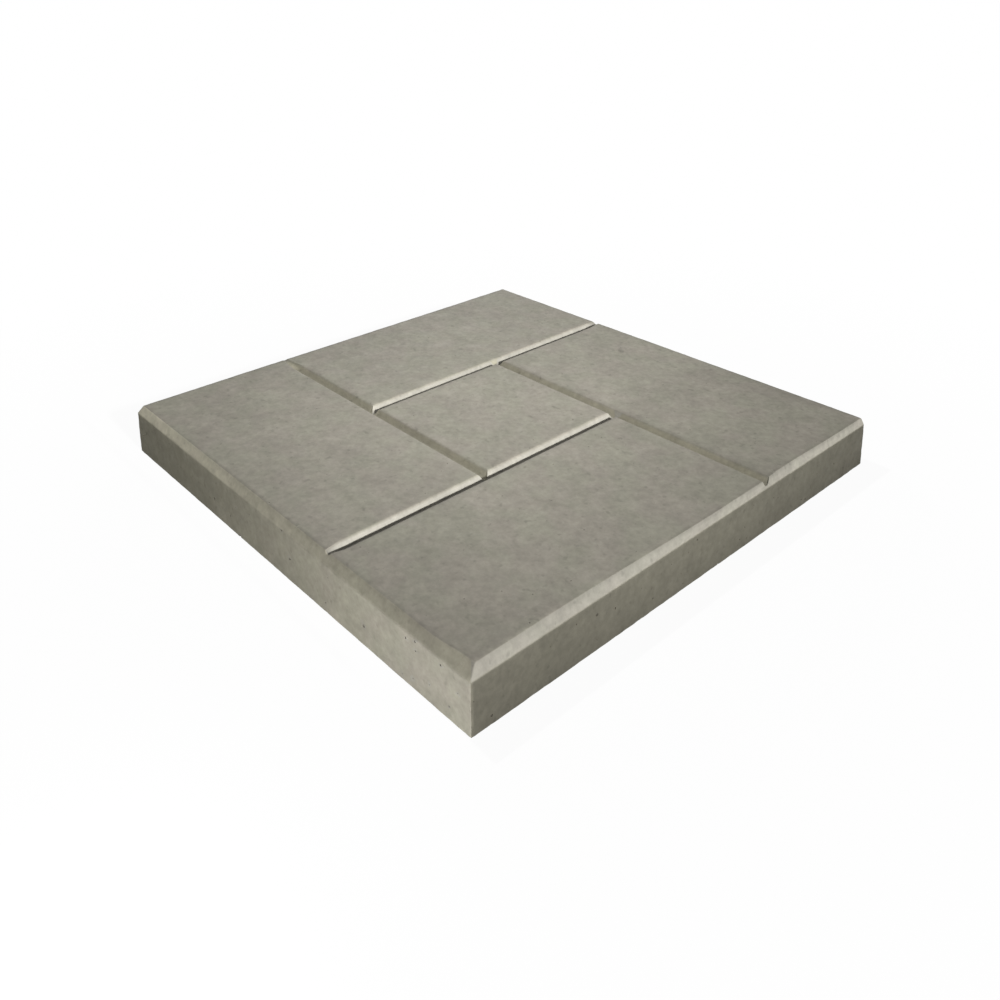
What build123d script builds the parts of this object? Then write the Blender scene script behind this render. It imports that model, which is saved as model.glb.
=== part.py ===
from build123d import *
import math
import os

# Concrete paving slab, millimetres, +Z up.
# Origin: centre of the flat underside. The front side faces -Y.

# Overall size, measured at the foot of the sides
slab_length = 300.0
slab_width = 300.0
slab_thickness = 30.0

# The sides lean in a little so that the casting leaves its mould
side_draft_deg = 1.0
upright_corner_radius = 0.45
# Edges whose middle lies within this distance of two sides belong to an upright corner
corner_zone = 10.0

# Bevel all round the top edge
edge_bevel_in = 3.0
edge_bevel_down = 5.0
bevel_arris_radius = 0.5

# Grooves: steep walls on a round bed, with well rounded arrises.
# The mouth is measured over the arrises, where they meet the flat face.
groove_offset = 50.0
groove_mouth = 8.0
groove_wall_deg = 60.0
groove_bed_radius = 2.0
groove_arris_radius = 1.4

# How far the shapes that cut the grooves stand above the face and past the sides
clear_above = 6.0
run_past_edge = 10.0


def soften(start, corner, end, radius):
    """Return the first, middle and last point of an arc that rounds a corner."""
    to_start = (Vector(*start) - Vector(*corner)).normalized()
    to_end = (Vector(*end) - Vector(*corner)).normalized()
    half_angle = math.radians(to_start.get_angle(to_end) / 2)
    tangent = radius / math.tan(half_angle)
    centre_distance = radius / math.sin(half_angle)
    first = Vector(*corner) + to_start * tangent
    last = Vector(*corner) + to_end * tangent
    inward = (to_start + to_end).normalized()
    middle = Vector(*corner) + inward * (centre_distance - radius)
    return first, middle, last


def side_profile(span):
    """Upright section of the slab: leaning sides, bevels and their softened arrises."""
    half = span / 2
    bevel_foot = slab_thickness - edge_bevel_down
    lean = bevel_foot * math.tan(math.radians(side_draft_deg))
    foot = (half, 0)
    shoulder = (half - lean, bevel_foot)
    brow = (half - lean - edge_bevel_in, slab_thickness)
    low = soften(foot, shoulder, brow, bevel_arris_radius)
    high = soften(shoulder, brow, (0, slab_thickness), bevel_arris_radius)
    with BuildSketch(Plane.XZ) as section:
        with BuildLine():
            Line((0, 0), foot)
            Line(foot, low[0])
            ThreePointArc(*low)
            Line(low[2], high[0])
            ThreePointArc(*high)
            Line(high[2], (0, slab_thickness))
            Line((0, slab_thickness), (0, 0))
        make_face()
        mirror(about=Plane.YZ)
    return section.sketch


def slab_body():
    """Slab whose four sides share one profile, with slightly rounded upright corners."""
    across = extrude(side_profile(slab_length), amount=slab_width / 2, both=True)
    along = extrude(side_profile(slab_width), amount=slab_length / 2, both=True)
    body = across & (Rot(0, 0, 90) * along)
    corner_edges = []
    for edge in body.edges():
        middle = edge.center()
        near_x = slab_length / 2 - abs(middle.X) < corner_zone
        near_y = slab_width / 2 - abs(middle.Y) < corner_zone
        if near_x and near_y:
            corner_edges.append(edge)
    return fillet(corner_edges, radius=upright_corner_radius)


def groove_profile():
    """Section of one groove: steep walls, a round bed and rounded arrises at the mouth."""
    wall = math.radians(groove_wall_deg)
    half = groove_mouth / 2 - groove_arris_radius * math.tan(wall / 2)
    lip = (half, 0)
    keel = (0, -half * math.tan(wall))
    mouth = soften((groove_mouth, 0), lip, keel, groove_arris_radius)
    bed = soften(lip, keel, (-half, 0), groove_bed_radius)
    with BuildSketch(Plane.XZ) as section:
        with BuildLine():
            Line((0, clear_above), (mouth[0].X, clear_above))
            Line((mouth[0].X, clear_above), mouth[0])
            ThreePointArc(*mouth)
            Line(mouth[2], bed[0])
            RadiusArc(bed[0], bed[1], groove_bed_radius)
            Line(bed[1], (0, clear_above))
        make_face()
        mirror(about=Plane.YZ)
    return section.sketch


def groove_cutter():
    """A groove that starts outside the front side and ends on the next groove's centre line."""
    start = -slab_width / 2 - run_past_edge
    length = groove_offset - start
    # The section looks towards -Y, so a negative amount runs towards +Y
    return Pos(groove_offset, start, slab_thickness) * extrude(groove_profile(), amount=-length)


# Four grooves, a quarter turn apart, run round a small square in the middle
slab = slab_body()
cutter = groove_cutter()
for quarter_turn in range(4):
    slab = slab - Rot(0, 0, 90 * quarter_turn) * cutter

slab = slab.solid()
slab.label = "paving_slab"

os.makedirs("parts", exist_ok=True)
export_step(slab, "parts/paving_slab.step")
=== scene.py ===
import math

import bmesh
import bpy
from mathutils import Matrix, Vector


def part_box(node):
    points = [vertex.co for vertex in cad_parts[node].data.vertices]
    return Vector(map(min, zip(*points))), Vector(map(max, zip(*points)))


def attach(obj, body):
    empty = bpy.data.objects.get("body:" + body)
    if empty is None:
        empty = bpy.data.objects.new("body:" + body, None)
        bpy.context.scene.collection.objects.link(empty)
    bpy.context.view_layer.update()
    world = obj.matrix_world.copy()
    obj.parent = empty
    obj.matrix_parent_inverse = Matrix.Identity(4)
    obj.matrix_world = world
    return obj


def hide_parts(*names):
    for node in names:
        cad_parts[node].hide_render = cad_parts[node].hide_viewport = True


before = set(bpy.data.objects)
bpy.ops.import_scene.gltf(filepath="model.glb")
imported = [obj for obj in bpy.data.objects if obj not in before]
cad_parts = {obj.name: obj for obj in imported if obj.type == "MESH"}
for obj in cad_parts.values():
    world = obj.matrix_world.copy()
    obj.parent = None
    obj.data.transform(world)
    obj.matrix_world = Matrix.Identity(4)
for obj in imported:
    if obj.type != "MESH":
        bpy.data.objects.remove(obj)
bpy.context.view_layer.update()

# Concrete paving slab: cast face with grooves, bevel, sides and underside.
# The shape is worked out in millimetres and made in metres.
MM = 0.001

# Sizes of the casting
half_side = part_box("paving_slab")[1][0] / MM
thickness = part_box("paving_slab")[1][2] / MM
side_draft = math.tan(math.radians(1.0))
upright_corner_radius = 0.45
bevel_in = 3.0
bevel_down = 5.0
bevel_arris_radius = 0.5
groove_offset = 50.0
groove_mouth = 8.0
groove_wall = math.radians(60.0)
groove_bed_radius = 2.0
groove_arris_radius = 1.4

# Mesh: spacing on the open faces and down the sides, and the lowest line above the foot.
# Mesh lines within the side zone are on a side.
face_step = 2.0
side_step = 1.9
sill = 0.6
side_zone = 1.0

# The face's arris wanders outwards on the right, less so past the groove, and inwards at
# the near corner, and the face gives way with it over the blend.
out_on_right = 2.2
less_past_groove = 0.45
in_at_near_corner = 2.2
arris_blend = 8.0

# Stray cement chokes three of the grooves' run-outs. Each run-out, from the front round to
# the left: how far out the choking starts, and the share of the depth left at the end.
run_outs = ((139.0, 0.35), (141.5, 1.0), (136.0, 0.55), (129.0, 0.15))
# This share of the cement lifts the whole groove, which narrows it; the rest flattens it
lifting_share = 0.6

# Wear reaches this far to either side of the bevel's arrises and of the grooves' lips. The
# lips wear less, and less still where a groove comes near the bevel.
arris_band = 0.45
lip_band = 0.8
lip_wear = 0.6
lip_wear_fades_over = 6.0

# Heights and reaches that the finish needs, in metres
bevel_foot = (thickness - bevel_down) * MM
face_edge = (half_side - bevel_in) * MM - bevel_foot * side_draft
face_level = thickness * MM
groove_line = groove_offset * MM

# Height of the net beside the right side, in metres
right_net_height = 0.085


def rounded(before, corner, after, radius, steps):
    """Points along the arc that rounds one corner of a section."""
    before, corner, after = Vector(before), Vector(corner), Vector(after)
    to_before = (before - corner).normalized()
    to_after = (after - corner).normalized()
    half = to_before.angle(to_after) / 2
    tangent = radius / math.tan(half)
    centre = corner + (to_before + to_after).normalized() * (radius / math.sin(half))
    first = corner + to_before * tangent - centre
    last = corner + to_after * tangent - centre
    turn = first.angle(last)
    points = []
    for step in range(steps + 1):
        share = step / steps
        along = first * math.sin((1 - share) * turn) + last * math.sin(share * turn)
        points.append(tuple(centre + along / math.sin(turn)))
    return points


def side_reach(height):
    """Half width of the slab at a height on its leaning sides."""
    return half_side - height * side_draft


def groove_section():
    """Offset from the centre line and height of one half of a groove, mouth to bed."""
    half = groove_mouth / 2 - groove_arris_radius * math.tan(groove_wall / 2)
    lip = (half, 0.0)
    keel = (0.0, -half * math.tan(groove_wall))
    mouth = rounded((groove_mouth, 0.0), lip, keel, groove_arris_radius, 4)
    bed = rounded(lip, keel, (-half, 0.0), groove_bed_radius, 8)[:5]
    (top_x, top_z), (low_x, low_z) = mouth[-1], bed[0]
    wall = [(top_x + (low_x - top_x) * s, top_z + (low_z - top_z) * s) for s in (1 / 3, 2 / 3)]
    return mouth + wall + bed[:-1] + [(0.0, bed[-1][1])]


def rim_section(groove):
    """Half width and height of the top edge, from the flat face to the head of the side."""
    foot = thickness - bevel_down
    low_corner = (side_reach(foot), foot)
    high_corner = (low_corner[0] - bevel_in, thickness)
    high = rounded((0.0, thickness), high_corner, low_corner, bevel_arris_radius, 2)
    low = rounded(high_corner, low_corner, (half_side, 0.0), bevel_arris_radius, 2)
    # The bevel has lines at the levels of the groove's lines, so the two meet on mesh points
    slope = bevel_down / bevel_in
    clear = 0.15
    levels = [thickness + height for offset, height in groove]
    inside = [z for z in levels if low[0][1] + clear < z < high[-1][1] - clear]
    flat = [(high_corner[0] + (thickness - z) / slope, z) for z in inside]
    return high + flat + low


def between(section, at):
    """Height of a section at a place along it, held at its two ends."""
    for (a, low), (b, high) in zip(section, section[1:]):
        if min(a, b) <= at <= max(a, b):
            return low + (high - low) * (at - a) / (b - a)
    nearest = min(section[0], section[-1], key=lambda point: abs(at - point[0]))
    return nearest[1]


groove_profile = groove_section()
rim_profile = rim_section(groove_profile)

# Places on the two sections: the groove's mouth, lip and bed, where the flat face ends, and
# the middles of the bevel's upper and lower arris
mouth_reach = groove_profile[0][0]
lip_reach = groove_profile[2][0]
bed_depth = groove_profile[-1][1]
flat_edge = rim_profile[0][0]
brow = rim_profile[1][0]
shoulder = rim_profile[-2][0]


def spread(start, end, step):
    """Evenly spaced places between two lines, both left out, with one in the middle."""
    count = 2 * max(1, round((end - start) / step / 2))
    return [start + (end - start) * k / count for k in range(1, count)]


def plan_lines():
    """Places of the mesh lines across the slab, the same both ways."""
    groove = [offset for offset, height in groove_profile]
    right = [groove_offset + o for o in groove] + [groove_offset - o for o in groove if o > 0]
    right += [reach for reach, height in rim_profile]
    right += spread(groove_offset + mouth_reach, flat_edge, face_step)
    middle = spread(-groove_offset + mouth_reach, groove_offset - mouth_reach, face_step)
    return sorted(right + middle + [-place for place in right])


def ramp(value, start, end):
    """Smooth rise from zero to one between two values."""
    share = min(1.0, max(0.0, (value - start) / (end - start)))
    return share * share * (3 - 2 * share)


def groove_height(x, y):
    """Height of the four grooves at a place, and how far stray cement fills them there."""
    height, filled = 0.0, 0.0
    for start, depth_left in run_outs:
        # Each groove is a quarter turn from the last and ends on the next one's centre line
        if abs(x - groove_offset) < mouth_reach and y <= groove_offset + 0.001:
            full = between(groove_profile, abs(x - groove_offset))
            choked = ramp(-y, start, brow) * (1 - depth_left)
            lift = lifting_share * choked * bed_depth
            open_height = min(0.0, (1 - (1 - lifting_share) * choked) * full - lift)
            height = min(height, open_height)
            # The filling counts only where the groove stays open, and not on the bevel
            still_open = min(1.0, 6 * open_height / bed_depth)
            filled = choked * still_open if -y <= brow + 0.1 else 0.0
        x, y = y, -x
    return height, filled


def face_height(x, y):
    """Height of the cast face at a place, grooves and bevel together."""
    reach = max(abs(x), abs(y))
    height = between(rim_profile, reach) if reach > flat_edge else thickness
    return min(height, thickness + groove_height(x, y)[0])


def eased_corner(x, y, radius):
    """Pull a place near an upright corner back onto its rounding."""
    reach = max(abs(x), abs(y))
    inner = reach - radius
    over_x, over_y = abs(x) - inner, abs(y) - inner
    if radius <= 0 or over_x <= 0 or over_y <= 0:
        return x, y
    low, high = min(over_x, over_y), max(over_x, over_y)
    angle = math.radians(45) * low / high
    long, short = radius * math.cos(angle), radius * math.sin(angle)
    ease_x, ease_y = (long, short) if over_x >= over_y else (short, long)
    return math.copysign(inner + ease_x, x), math.copysign(inner + ease_y, y)


def wander(x, y):
    """Slide a place near the face's arris: outwards on the right, inwards by the near corner."""

    def share(reach):
        inner = min(1.0, max(0.0, (reach - brow + arris_blend) / arris_blend))
        return min(inner, max(0.0, (shoulder - reach) / (shoulder - brow)))

    eased = less_past_groove * ramp(y, 45.0, 62.0) * (1 - ramp(y, 70.0, 130.0))
    slide_x = out_on_right * (ramp(y, -110.0, 15.0) - eased) * share(x)
    slide_y = in_at_near_corner * ramp(x, 122.0, brow) * share(-y)
    return x + slide_x, y + slide_y


def arris_weight(x, y):
    """How much an edge between two faces is exposed to wear at a place on the cast face."""
    weight = 0.0
    reach = max(abs(x), abs(y))
    for place in (brow, shoulder):
        weight = max(weight, 1 - abs(reach - place) / arris_band)
    fading = lip_wear * (1 - ramp(reach, brow - lip_wear_fades_over, brow))
    for turn in range(4):
        if y <= groove_offset:
            off = abs(abs(x - groove_offset) - lip_reach)
            weight = max(weight, fading * (1 - off / lip_band))
        x, y = y, -x
    return max(0.0, weight)


def add_patch(form, a, b, c, d):
    """Face over four corners, folded along its higher diagonal where it isn't flat."""
    lift = (a.co.z + c.co.z) - (b.co.z + d.co.z)
    if abs(lift) < 1e-8:
        form.faces.new((a, b, c, d))
    elif lift > 0:
        form.faces.new((a, b, c))
        form.faces.new((a, c, d))
    else:
        form.faces.new((a, b, d))
        form.faces.new((b, c, d))


def cast_face(form, lines, vertex):
    """Face, grooves and bevel as one sheet; returns its vertices by their mesh lines."""
    face = {}
    for i, x in enumerate(lines):
        for j, y in enumerate(lines):
            reach = max(abs(x), abs(y))
            outer = (reach - flat_edge) / (rim_profile[2][0] - flat_edge)
            radius = upright_corner_radius * min(1.0, max(0.0, outer))
            put_x, put_y = wander(*eased_corner(x, y, radius))
            filled = groove_height(x, y)[1]
            face[i, j] = vertex(put_x, put_y, face_height(x, y), arris_weight(x, y), reach, filled)
    last = len(lines) - 1
    for i in range(last):
        for j in range(last):
            add_patch(form, face[i, j], face[i + 1, j], face[i + 1, j + 1], face[i, j + 1])
    return face


def cast_sides(form, lines, face, vertex):
    """Sides, from the bevel down; returns the vertices of their foot by their mesh lines."""
    last = len(lines) - 1
    loop = [(i, 0) for i in range(last)] + [(last, j) for j in range(last)]
    loop += [(i, last) for i in range(last, 0, -1)] + [(0, j) for j in range(last, 0, -1)]
    head_reach, head = rim_profile[-1]
    rings = [[face[place] for place in loop]]
    for height in spread(sill, head, side_step)[::-1] + [sill, 0.0]:
        grown = side_reach(height) - head_reach
        ring = []
        for i, j in loop:
            x, y = (face[i, j].co / MM).xy
            near_x = abs(lines[i]) > half_side - side_zone
            near_y = abs(lines[j]) > half_side - side_zone
            x += math.copysign(grown, x) if near_x else 0.0
            y += math.copysign(grown, y) if near_y else 0.0
            upright = 1.0 if near_x and near_y else 0.0
            weight = max(upright, 0.8 if height == 0.0 else 0.0)
            ring.append(vertex(x, y, height, weight, side_reach(height)))
        rings.append(ring)
    for upper, lower in zip(rings, rings[1:]):
        for k in range(len(loop)):
            after = (k + 1) % len(loop)
            form.faces.new((upper[k], lower[k], lower[after], upper[after]))
    return dict(zip(loop, rings[-1]))


def cast_underside(form, lines, foot, vertex):
    """Flat underside with faces two mesh lines wide, joined to the foot of the sides."""
    count = len(lines)
    under = {}
    for i in range(0, count, 2):
        for j in range(0, count, 2):
            under[i, j] = foot.get((i, j)) or vertex(lines[i], lines[j], 0.0, 0.0, 0.0)
    for i in range(0, count - 1, 2):
        for j in range(0, count - 1, 2):
            walk = [(i, j), (i, j + 1), (i, j + 2), (i + 1, j + 2),
                    (i + 2, j + 2), (i + 2, j + 1), (i + 2, j), (i + 1, j)]
            corners = [under.get(place) or foot.get(place) for place in walk]
            form.faces.new([corner for corner in corners if corner])


def slab_form():
    """Closed mesh of the slab; attributes mark its arrises, its rim and filled groove ends."""
    lines = plan_lines()
    form = bmesh.new()
    wear = form.verts.layers.float.new("arris")
    rim = form.verts.layers.float.new("rim")
    fill = form.verts.layers.float.new("fill")

    def vertex(x, y, z, weight, reach, filled=0.0):
        made = form.verts.new((x * MM, y * MM, z * MM))
        made[wear] = weight
        made[rim] = reach * MM
        made[fill] = filled
        return made

    face = cast_face(form, lines, vertex)
    foot = cast_sides(form, lines, face, vertex)
    cast_underside(form, lines, foot, vertex)
    bmesh.ops.recalc_face_normals(form, faces=form.faces)
    mesh = bpy.data.meshes.new("slab_form")
    form.to_mesh(mesh)
    form.free()
    return mesh


class Nodes:
    """Adds nodes to a tree and wires them as they are added."""

    def __init__(self, tree):
        self.tree = tree

    def add(self, kind, inputs=None, **settings):
        """One node; an input is a value, or another node's output to link."""
        node = self.tree.nodes.new(kind)
        for name, value in settings.items():
            setattr(node, name, value)
        for key, value in (inputs or {}).items():
            socket = node.inputs[key]
            if isinstance(value, bpy.types.NodeSocket):
                self.tree.links.new(value, socket)
            else:
                socket.default_value = value
        return node

    def attribute(self, name):
        """Value of one of the mesh's attributes, in a material."""
        return self.add("ShaderNodeAttribute", attribute_name=name).outputs["Fac"]

    def math(self, operation, first, second=0.0):
        """Result of one sum on two numbers."""
        return self.add("ShaderNodeMath", {0: first, 1: second}, operation=operation).outputs[0]

    def away_from(self, value, centre):
        """Distance of a number from another, never below zero."""
        return self.math("ABSOLUTE", self.math("SUBTRACT", value, centre))

    def product(self, *factors):
        """Several numbers multiplied together."""
        result = factors[0]
        for factor in factors[1:]:
            result = self.math("MULTIPLY", result, factor)
        return result

    def remap(self, value, low, high, to_low=0.0, to_high=1.0):
        """A number carried from one range to another, held within it."""
        node = self.add("ShaderNodeMapRange", {
            "Value": value, "From Min": low, "From Max": high,
            "To Min": to_low, "To Max": to_high})
        return node.outputs["Result"]

    def blend(self, share, first, second, kind="FLOAT"):
        """First turning into second as the share goes from zero to one."""
        a, b = {"FLOAT": (2, 3), "VECTOR": (4, 5)}[kind]
        node = self.add("ShaderNodeMix", {0: share, a: first, b: second}, data_type=kind)
        return node.outputs[{"FLOAT": 0, "VECTOR": 1}[kind]]

    def noise(self, place, size, detail=2.0, rough=0.5, shift=0.0):
        """Noise whose blobs are about size metres across; a shift picks another pattern."""
        moved = self.add("ShaderNodeVectorMath", {0: place, 1: (shift, 0.7 * shift, -shift)},
                         operation="ADD").outputs[0]
        return self.add("ShaderNodeTexNoise", {
            "Vector": moved, "Scale": 1.0 / size, "Detail": detail, "Roughness": rough}).outputs[0]


def bare_material(name):
    """Material with an empty tree, and the nodes to fill it with."""
    material = bpy.data.materials.new(name)
    material.use_nodes = True
    material.node_tree.nodes.clear()
    return material, Nodes(material.node_tree)


def add_object(name, data):
    """New object, put into the scene."""
    made = bpy.data.objects.new(name, data)
    bpy.context.scene.collection.objects.link(made)
    return made


def add_panel(name, corners, material):
    """Single flat face in the scene, of one material."""
    mesh = bpy.data.meshes.new(name)
    mesh.from_pydata(corners, [], [(0, 1, 2, 3)])
    mesh.materials.append(material)
    return add_object(name, mesh)


def cast_surface_tree():
    """Geometry nodes for the cast skin: shallow waves, sand grain, worn arrises and pinholes."""
    tree = bpy.data.node_groups.new("cast_surface", "GeometryNodeTree")
    socket = tree.interface.new_socket
    socket("Geometry", in_out="INPUT", socket_type="NodeSocketGeometry")
    sizes = [("Wave depth", 0.00016), ("Sand depth", 0.00003), ("Arris wear", 0.0003),
             ("Pinhole least", 0.00015), ("Pinhole most", 0.00042),
             ("Blowhole least", 0.00025), ("Blowhole most", 0.0008),
             ("Pinholes per area", 3500.0), ("Blowholes per area", 5000.0)]
    for name, value in sizes:
        socket(name, in_out="INPUT", socket_type="NodeSocketFloat").default_value = value
    socket("Seed", in_out="INPUT", socket_type="NodeSocketInt").default_value = 11
    socket("Concrete", in_out="INPUT", socket_type="NodeSocketMaterial")
    socket("Geometry", in_out="OUTPUT", socket_type="NodeSocketGeometry")

    n = Nodes(tree)
    given = n.add("NodeGroupInput").outputs
    place = n.add("GeometryNodeInputPosition").outputs[0]
    normal = n.add("GeometryNodeInputNormal").outputs[0]

    waves = n.product(n.noise(place, 0.045, 1.0), given["Wave depth"])
    sand = n.product(n.noise(place, 0.0042, 2.0, 0.6, 3.0), given["Sand depth"])
    arris = n.add("GeometryNodeInputNamedAttribute", {"Name": "arris"}, data_type="FLOAT")
    nibble = n.remap(n.noise(place, 0.006, 3.0, 0.6, 7.0), 0.42, 0.78, 0.06, 1.0)
    worn = n.product(nibble, arris.outputs[0], given["Arris wear"])
    sunk = n.math("ADD", n.math("ADD", waves, sand), worn)
    inward = n.add("ShaderNodeVectorMath", {0: normal, "Scale": n.math("MULTIPLY", sunk, -1.0)},
                   operation="SCALE").outputs[0]
    skin = n.add("GeometryNodeSetPosition", {"Geometry": given["Geometry"], "Offset": inward})
    skin = skin.outputs[0]

    # Pinholes lie on the level face, and blowholes on the sides clear of the bevel
    least_level_up, most_upright_up = 0.97, 0.3
    up = n.add("ShaderNodeSeparateXYZ", {0: normal}).outputs["Z"]
    on_face = n.math("GREATER_THAN", up, least_level_up)
    height = n.add("ShaderNodeSeparateXYZ", {0: place}).outputs["Z"]
    below_bevel = n.math("LESS_THAN", height, bevel_foot - 0.0012)
    upright = n.math("LESS_THAN", n.math("ABSOLUTE", up), most_upright_up)
    on_side = n.math("MULTIPLY", upright, below_bevel)

    def holes(where, per_area, least, most, gap, seed_step):
        """Small round cutters strewn over part of the skin, most of them near the least size."""
        seed = n.math("ADD", given["Seed"], seed_step)
        strewn = n.add("GeometryNodeDistributePointsOnFaces", {
            "Mesh": skin, "Selection": where, "Distance Min": gap,
            "Density Max": per_area, "Seed": seed}, distribute_method="POISSON")
        chance = n.add("FunctionNodeRandomValue", {"Seed": seed}, data_type="FLOAT").outputs[1]
        size = n.remap(n.math("POWER", chance, 2.6), 0.0, 1.0, least, most)
        squash = n.add("FunctionNodeRandomValue", {0: (0.75, 0.75, 0.6), 1: (1.3, 1.3, 1.0)},
                       data_type="FLOAT_VECTOR").outputs[0]
        scale = n.add("ShaderNodeVectorMath", {0: squash, "Scale": size}, operation="SCALE")
        ball = n.add("GeometryNodeMeshIcoSphere", {"Radius": 1.0, "Subdivisions": 2})
        put = n.add("GeometryNodeInstanceOnPoints", {
            "Points": strewn.outputs["Points"], "Instance": ball.outputs[0],
            "Rotation": strewn.outputs["Rotation"], "Scale": scale.outputs[0]})
        return put.outputs[0]

    pin = holes(on_face, given["Pinholes per area"], given["Pinhole least"],
                given["Pinhole most"], 0.0045, 1.0)
    blow = holes(on_side, given["Blowholes per area"], given["Blowhole least"],
                 given["Blowhole most"], 0.004, 2.0)
    both = n.add("GeometryNodeJoinGeometry")
    tree.links.new(pin, both.inputs[0])
    tree.links.new(blow, both.inputs[0])
    solid = n.add("GeometryNodeRealizeInstances", {0: both.outputs[0]}).outputs[0]
    marked = n.add("GeometryNodeStoreNamedAttribute", {
        "Geometry": solid, "Name": "hole", "Value": 1.0}, data_type="FLOAT", domain="FACE")
    cut = n.add("GeometryNodeMeshBoolean", {"Mesh 1": skin}, operation="DIFFERENCE",
                solver="MANIFOLD")
    tree.links.new(marked.outputs[0], cut.inputs["Mesh 2"])
    whole = n.add("GeometryNodeRealizeInstances", {0: cut.outputs["Mesh"]}).outputs[0]
    dressed = n.add("GeometryNodeSetMaterial", {
        "Geometry": whole, "Material": given["Concrete"]}).outputs[0]
    end = n.add("NodeGroupOutput")
    tree.links.new(dressed, end.inputs[0])
    return tree


def set_input(modifier, name, value):
    """Set a named input of a geometry nodes modifier by its identifier."""
    for item in modifier.node_group.interface.items_tree:
        if item.item_type == "SOCKET" and item.in_out == "INPUT" and item.name == name:
            modifier[item.identifier] = value


def cement_tone(n, place):
    """Even part of the tone: clouds, mottling, sand grain and dark specks, around one."""
    cloud = n.remap(n.noise(place, 0.06, 3.0, 0.55, 1.0), 0.3, 0.7, 0.95, 1.05)
    patch = n.remap(n.noise(place, 0.016, 2.0, 0.5, 3.0), 0.3, 0.7, 0.95, 1.05)
    mottle = n.remap(n.noise(place, 0.0065, 3.0, 0.6, 5.0), 0.3, 0.7, 0.92, 1.08)
    fleck = n.remap(n.noise(place, 0.003, 2.0, 0.6, 7.0), 0.3, 0.7, 0.91, 1.09)
    grain = n.remap(n.noise(place, 0.0009, 2.0, 0.7, 9.0), 0.3, 0.7, 0.98, 1.02)
    speck = n.remap(n.noise(place, 0.0038, 1.0, 0.5, 17.0), 0.65, 0.78, 1.0, 0.80)
    return n.product(cloud, patch, mottle, fleck, grain, speck)


def smear(n, place, centre, heading_deg, length, width):
    """Tone of one dark smear on the face, soft and ragged at its rim."""
    off = n.add("ShaderNodeVectorMath", {0: place, 1: centre}, operation="SUBTRACT").outputs[0]
    a = math.radians(heading_deg)
    shares = []
    for along, span in (((math.cos(a), math.sin(a), 0.0), length),
                        ((-math.sin(a), math.cos(a), 0.0), width)):
        reach = n.add("ShaderNodeVectorMath", {0: off, 1: along}, operation="DOT_PRODUCT")
        share = n.math("DIVIDE", reach.outputs["Value"], span / 2)
        shares.append(n.math("MULTIPLY", share, share))
    ragged = n.remap(n.noise(place, 0.003, 2.0, 0.6, 41.0), 0.3, 0.7, -0.3, 0.3)
    away = n.math("ADD", n.math("ADD", shares[0], shares[1]), ragged)
    return n.remap(away, 0.15, 1.0, 0.71, 1.0)


class Spot:
    """Measures of a place on the slab that its tone and stains depend on."""

    def __init__(self, n, place):
        self.place = place
        self.x, self.y, self.z = n.add("ShaderNodeSeparateXYZ", {0: place}).outputs
        self.far_x = n.math("ABSOLUTE", self.x)
        self.far_y = n.math("ABSOLUTE", self.y)
        self.rim = n.attribute("rim")
        self.fill = n.attribute("fill")
        # Places moved by a drift, so that what depends on them has no straight limit
        drift = n.remap(n.noise(place, 0.03, 3.0, 0.6, 21.0), 0.3, 0.7, -0.02, 0.02)
        self.loose_x = n.math("ADD", self.x, drift)
        self.loose_y = n.math("ADD", self.y, drift)
        self.loose_reach = n.math("ADD", n.math("MAXIMUM", self.far_x, self.far_y), drift)
        self.depth = n.math("SUBTRACT", face_level, self.z)
        # Shares from zero to one; across is one in the grooves that run from side to side
        self.on_side = n.remap(self.z, bevel_foot + 0.0006, bevel_foot - 0.0007)
        self.on_bevel = n.remap(self.rim, face_edge - 0.0001, face_edge + 0.0002)
        self.facing_front = n.remap(n.math("ADD", self.far_x, self.y), 0.0002, -0.0002)
        self.on_wall = n.remap(self.depth, 0.0003, 0.0012)
        off_x = n.away_from(self.far_x, groove_line)
        off_y = n.away_from(self.far_y, groove_line)
        self.across = n.math("LESS_THAN", off_y, off_x)


def face_tone(n, spot):
    """Face: palest in the middle and darker towards the rim, the front and the left as painted
    shade, and darker in a strip behind a groove.
    """
    # Painted shade: the face darkens towards its rim, front and left, where the lamps light it less
    painted_shade_to_rim = n.remap(spot.loose_reach, 0.04, 0.150, 1.04, 0.91)
    painted_shade_to_front = n.remap(spot.loose_y, -0.09, -0.150, 1.0, 0.92)
    painted_shade_to_left = n.remap(spot.loose_x, -0.02, -0.150, 1.0, 0.91)
    smeared = smear(n, spot.place, (-0.0052, 0.121, face_level), 139.0, 0.011, 0.0045)
    behind = n.math("SUBTRACT", spot.y, groove_line)
    beside = n.product(n.remap(behind, 0.0015, 0.0030), n.remap(spot.x, -0.050, -0.045),
                       n.remap(behind, 0.0045, 0.0075, 1.0, 0.0))
    darker_behind_groove = n.remap(beside, 0.0, 1.0, 1.0, 0.92)
    return n.product(painted_shade_to_rim, painted_shade_to_front, painted_shade_to_left, smeared, darker_behind_groove)


def arris_dark_line(n, spot):
    """Dark line along the face's arris, faint at the front's left and by the near corner."""
    line = n.remap(n.away_from(spot.rim, face_edge - 0.0002), 0.0004, 0.0017, 1.0, 0.0)
    patchy = n.remap(n.noise(spot.place, 0.02, 2.0, 0.5, 51.0), 0.35, 0.65, 0.75, 1.0)
    front_line = n.remap(spot.x, -0.11, -0.06, 0.0, 0.17)
    right_line = n.remap(spot.y, -0.12, 0.0, 0.08, 0.25)
    strength = n.blend(spot.facing_front, right_line, front_line)
    return n.math("SUBTRACT", 1.0, n.product(line, patchy, strength))


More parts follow.
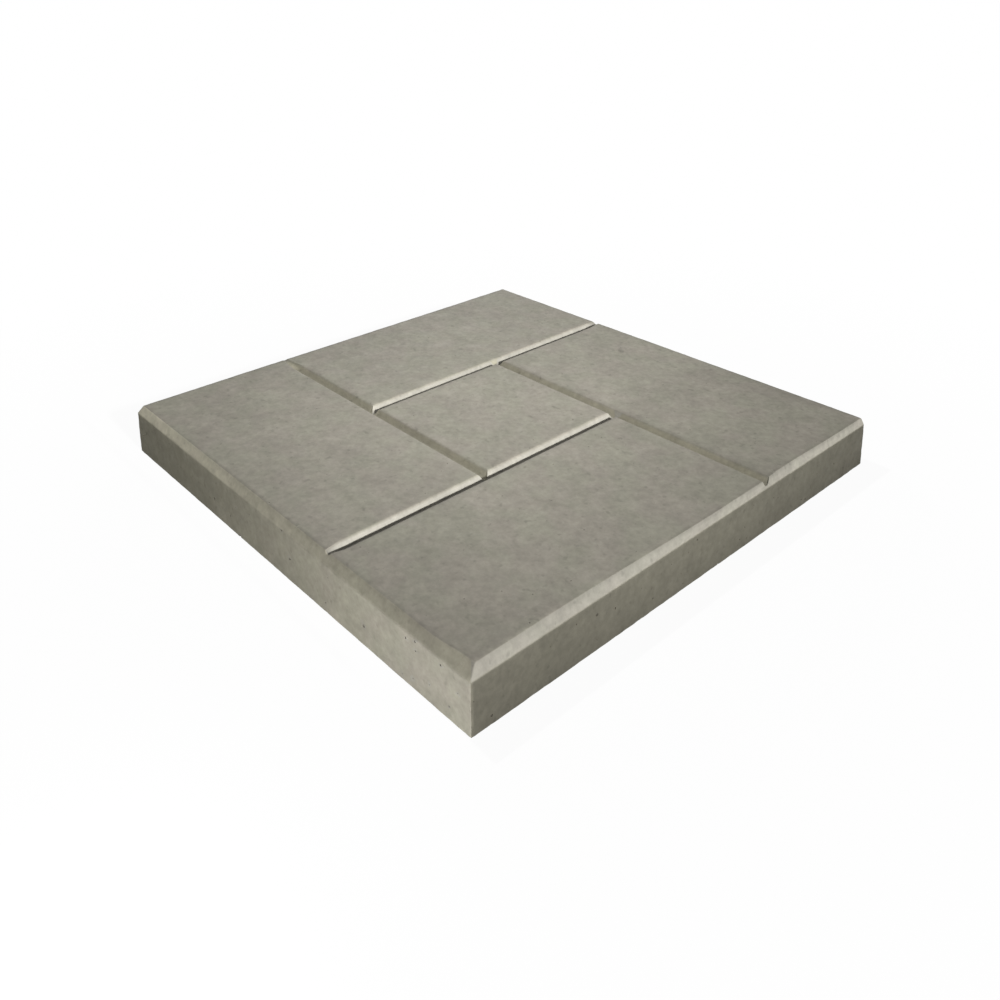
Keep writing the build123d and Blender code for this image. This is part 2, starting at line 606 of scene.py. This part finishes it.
def groove_tone(n, spot, face):
    """Grooves: walls made paler as painted light, over a bed darkened as painted shade; the face's
    own tone where there is no groove.
    """
    # Painted light: the groove walls are paler, more so towards the right
    wall_painted_light_along = n.product(n.remap(spot.x, -0.05, 0.05, 1.20, 1.27),
                           n.remap(spot.y, 0.04, 0.14, 1.0, 0.94))
    wall_painted_light_across = n.remap(spot.x, 0.0, 0.10, 1.14, 1.30)
    wall = n.blend(spot.on_wall, face, n.blend(spot.across, wall_painted_light_along, wall_painted_light_across))
    # Painted shade: the groove's bed is darker, where shade falls deep in the groove
    return n.math("MULTIPLY", wall, n.remap(spot.depth, 0.0022, 0.0033, 1.0, 0.70))


def bevel_tone(n, spot):
    """Bevel: painted light makes the front one pale at its left end and less so towards the near
    corner; the others are darker towards the front and paler towards the back.
    """
    # Painted light: the front bevel is paler, most at its left end
    painted_light_front_bevel = n.remap(spot.loose_x, -0.11, 0.09, 1.70, 1.06)
    return n.blend(spot.facing_front, n.remap(spot.y, -0.10, 0.12, 0.92, 1.10), painted_light_front_bevel)


def side_tone(n, spot):
    """Sides: darker at the foot as painted shade where they meet the floor, and towards the upright
    corners; the front darker towards its left as painted shade.
    """
    # Painted shade at the foot of the sides, where they meet the floor
    foot = n.remap(spot.z, 0.0, 0.014, 0.93, 1.0)
    corners = n.product(n.remap(spot.y, 0.03, 0.150, 1.0, 0.79),
                        n.remap(spot.y, -0.05, -0.10, 1.0, 0.88))
    # Painted shade: the front side is darker towards its left, away from the low lamp
    painted_shade_along_front = n.remap(spot.loose_x, -0.09, -0.03, 0.88, 1.03)
    return n.math("MULTIPLY", foot, n.blend(spot.facing_front, corners, painted_shade_along_front))


def zone_tone(n, spot):
    """Tone of each part of the casting, around one."""
    inner = groove_tone(n, spot, face_tone(n, spot))
    # Painted shade: groove ends filled with cement are darker, against the light on their sloping
    # floor
    painted_shade_on_fill = n.remap(spot.fill, 0.05, 0.6, 1.0, 0.66)
    top = n.product(n.blend(spot.on_bevel, inner, bevel_tone(n, spot)), arris_dark_line(n, spot),
                    painted_shade_on_fill)
    return n.blend(spot.on_side, top, side_tone(n, spot))


def warm_share(n, spot):
    """How far the cement is stained warm: sides, front bevel and grooves from side to side."""
    drying = n.remap(spot.loose_x, -0.10, 0.13, 1.0, 0.1)
    in_groove = n.product(spot.on_wall, spot.across, 0.7)
    on_top = n.blend(spot.on_bevel, in_groove, n.math("MULTIPLY", spot.facing_front, 0.6))
    return n.blend(spot.on_side, on_top, n.blend(spot.facing_front, 0.7, drying))


def chalky_share(n, spot):
    """How chalky the cement is: grooves from front to back, and every bevel but the front one."""
    in_groove = n.math("MULTIPLY", spot.on_wall, n.math("SUBTRACT", 1.0, spot.across))
    return n.blend(spot.on_bevel, in_groove, n.remap(spot.facing_front, 0.0, 1.0, 0.6, 0.0))


def concrete_material():
    """Grey concrete with mottling, sand, stained and worn places, painted light and shade, and
    pinholes darkened by painted shade and dirt.
    """
    material, n = bare_material("cast_concrete")
    place = n.add("ShaderNodeTexCoord").outputs["Object"]
    spot = Spot(n, place)

    paler = n.remap(n.attribute("arris"), 0.2, 1.0, 1.0, 1.08)
    # Pits darker: painted shade in the holes, and dirt
    darker = n.remap(n.attribute("hole"), 0.0, 1.0, 1.0, 0.6)
    tone = n.product(cement_tone(n, place), zone_tone(n, spot), paler, darker)

    hue = n.remap(n.noise(place, 0.022, 2.0, 0.6, 29.0), 0.4, 0.6)
    olive, pinkish = (0.305, 0.293, 0.236), (0.314, 0.291, 0.243)
    earthy, chalk = (0.314, 0.295, 0.222), (0.307, 0.293, 0.253)
    tint = n.blend(hue, olive, pinkish, "VECTOR")
    tint = n.blend(chalky_share(n, spot), tint, chalk, "VECTOR")
    tint = n.blend(warm_share(n, spot), tint, earthy, "VECTOR")
    colour = n.add("ShaderNodeVectorMath", {0: tint, "Scale": tone}, operation="SCALE").outputs[0]

    rough = n.remap(n.noise(place, 0.01, 2.0, 0.5, 13.0), 0.3, 0.7, 0.72, 0.86)
    grit = n.noise(place, 0.0008, 3.0, 0.65, 31.0)
    bump = n.add("ShaderNodeBump", {"Strength": 1.0, "Distance": 0.00003, "Height": grit})
    shader = n.add("ShaderNodeBsdfPrincipled", {
        "Base Color": colour, "Roughness": rough, "Specular IOR Level": 0.35,
        "Normal": bump.outputs[0]})
    n.add("ShaderNodeOutputMaterial", {"Surface": shader.outputs[0]})
    return material


def slab_casting():
    """The slab as cast: the true form with its skin worked by geometry nodes."""
    form = add_object("slab_form", slab_form())
    skin = form.modifiers.new("cast_surface", "NODES")
    skin.node_group = cast_surface_tree()
    set_input(skin, "Concrete", concrete_material())
    graph = bpy.context.evaluated_depsgraph_get()
    mesh = bpy.data.meshes.new_from_object(form.evaluated_get(graph))
    mesh.name = "slab_casting"
    form.modifiers.remove(skin)
    bpy.data.objects.remove(form)
    mesh.shade_smooth()
    mesh.set_sharp_from_angle(angle=math.radians(38))
    return add_object("slab_casting", mesh)


def add_camera():
    """Camera at the photograph's viewing angle: low shift lens, looking down at the near corner."""
    sensor_width = 36.0
    focal_over_width = 0.9686
    data = bpy.data.cameras.new("camera")
    data.sensor_width = sensor_width
    data.lens = focal_over_width * sensor_width
    data.shift_x = 0.0288
    data.shift_y = -0.260
    stand = (0.37461, -0.34392, 0.28953)
    heading, tilt, roll = 138.68, 17.03, -0.81
    camera = add_object("camera", data)
    turn = Matrix.Rotation(math.radians(heading - 90), 4, "Z")
    turn = turn @ Matrix.Rotation(math.radians(90 - tilt), 4, "X")
    turn = turn @ Matrix.Rotation(math.radians(roll), 4, "Z")
    camera.matrix_world = Matrix.Translation(stand) @ turn
    bpy.context.scene.camera = camera


def add_lamp(name, data, at, aim):
    """Put a lamp at a place, facing another place, out of the camera's sight."""
    lamp = add_object(name, data)
    lamp.location = at
    lamp.rotation_euler = (Vector(aim) - Vector(at)).to_track_quat("-Z", "Y").to_euler()
    lamp.visible_camera = False


def add_sun(name, azimuth, elevation, brightness, spread_deg):
    """Distant lamp; a brightness of 1 shows a facing white surface as white."""
    data = bpy.data.lights.new(name, "SUN")
    data.energy = brightness * math.pi
    data.angle = math.radians(spread_deg)
    a, e = math.radians(azimuth), math.radians(elevation)
    towards = Vector((math.cos(a) * math.cos(e), math.sin(a) * math.cos(e), math.sin(e)))
    add_lamp(name, data, towards * 2.0, (0, 0, 0))


def add_soft_box(name, at, aim, width, height, brightness):
    """Flat lamp; brightness is what it adds to a white surface facing it at the aim."""
    data = bpy.data.lights.new(name, "AREA")
    data.shape = "RECTANGLE"
    data.size = width
    data.size_y = height
    distance = (Vector(aim) - Vector(at)).length
    data.energy = brightness * (math.pi * distance) ** 2
    add_lamp(name, data, at, aim)


def add_net(name, start, end, bottom, top, open_part):
    """Upright net that holds back part of the lamps' light and is itself never seen."""
    material, n = bare_material(name + "_cloth")
    place = n.add("ShaderNodeTexCoord").outputs["Object"]
    cloth = n.add("ShaderNodeBsdfTransparent", {"Color": open_part(n, place)})
    n.add("ShaderNodeOutputMaterial", {"Surface": cloth.outputs[0]})
    (x1, y1), (x2, y2) = start, end
    corners = [(x1, y1, bottom), (x2, y2, bottom), (x2, y2, top), (x1, y1, top)]
    net = add_panel(name, corners, material)
    net.visible_camera = False
    net.visible_diffuse = False
    net.visible_glossy = False
    net.visible_transmission = False


def right_weave(n, place):
    """Open part of the net beside the right side: dense below, open above, denser to the back."""
    x, y, z = n.add("ShaderNodeSeparateXYZ", {0: place}).outputs
    dense_top = 0.0318
    dense = n.remap(z, 0.0, dense_top, 0.22, 0.30)
    loose = n.remap(z, dense_top, right_net_height, 0.86, 1.0)
    weave = n.blend(n.math("GREATER_THAN", z, dense_top), dense, loose)
    return n.math("MULTIPLY", weave, n.remap(y, -0.02, 0.150, 1.0, 0.80))


def front_weave(n, place):
    """Open part of the net that keeps the low lamp off the front bevel, the same all over."""
    return (0.3, 0.3, 0.3, 1.0)


def seen_rays(n):
    """One for what the camera, a gloss or a clear body sees, and zero for plain light."""
    path = n.add("ShaderNodeLightPath").outputs
    seen = n.math("MAXIMUM", path["Is Camera Ray"], path["Is Glossy Ray"])
    return n.math("MAXIMUM", seen, path["Is Transmission Ray"])


def add_floor():
    """Plain white floor that still takes the slab's soft shadow."""
    material, n = bare_material("white_floor")
    seen = seen_rays(n)
    grey = n.remap(seen, 0.0, 1.0, 0.2, 0.9)
    colour = n.add("ShaderNodeCombineColor", {0: grey, 1: grey, 2: grey})
    matt = n.add("ShaderNodeBsdfDiffuse", {"Color": colour.outputs[0]})
    white = n.add("ShaderNodeEmission", {"Color": (1, 1, 1, 1), "Strength": 1.0})
    place = n.add("ShaderNodeTexCoord").outputs["Object"]
    away = n.add("ShaderNodeVectorMath", {0: place}, operation="LENGTH").outputs["Value"]
    share = n.math("MULTIPLY", seen, n.remap(away, 0.22, 0.45, 0.955, 1.0))
    mixed = n.add("ShaderNodeMixShader", {0: share, 1: matt.outputs[0], 2: white.outputs[0]})
    n.add("ShaderNodeOutputMaterial", {"Surface": mixed.outputs[0]})
    reach = 6.0
    corners = [(-reach, -reach, 0), (reach, -reach, 0), (reach, reach, 0), (-reach, reach, 0)]
    floor = add_panel("floor", corners, material)


def add_world():
    """Even pale light from all round, seen as white."""
    world = bpy.data.worlds.new("studio")
    world.use_nodes = True
    world.node_tree.nodes.clear()
    n = Nodes(world.node_tree)
    strength = n.remap(seen_rays(n), 0.0, 1.0, 0.11, 1.0)
    back = n.add("ShaderNodeBackground", {"Color": (1, 1, 1, 1), "Strength": strength})
    n.add("ShaderNodeOutputWorld", {"Surface": back.outputs[0]})
    bpy.context.scene.world = world


casting = slab_casting()
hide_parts("paving_slab")
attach(casting, "root")

add_camera()
add_floor()
add_world()
beside = (half_side + 15.0) * MM
add_net("right_net", (beside, -0.1512), (beside, 0.156), 0.0, right_net_height, right_weave)
add_net("front_net", (-0.156, -beside), (0.156, -beside), 0.0236, 0.036, front_weave)
add_sun("key_right", azimuth=-2.5, elevation=24.0, brightness=1.58, spread_deg=4.0)
add_soft_box("overhead", (0, 0, 0.18), (0, 0, 0.03), 0.16, 0.16, 0.25)
add_soft_box("front_low", (0.148, -0.33, 0.012), (0.148, -0.15, 0.012), 0.06, 0.02, 1.0)
add_soft_box("back_left", (-0.8, 0.6, 0.3), (0, 0, 0.03), 0.5, 0.5, 0.3)

scene = bpy.context.scene
scene.view_settings.view_transform = "Standard"

print("triangles", sum(len(p.vertices) - 2 for p in casting.data.polygons))
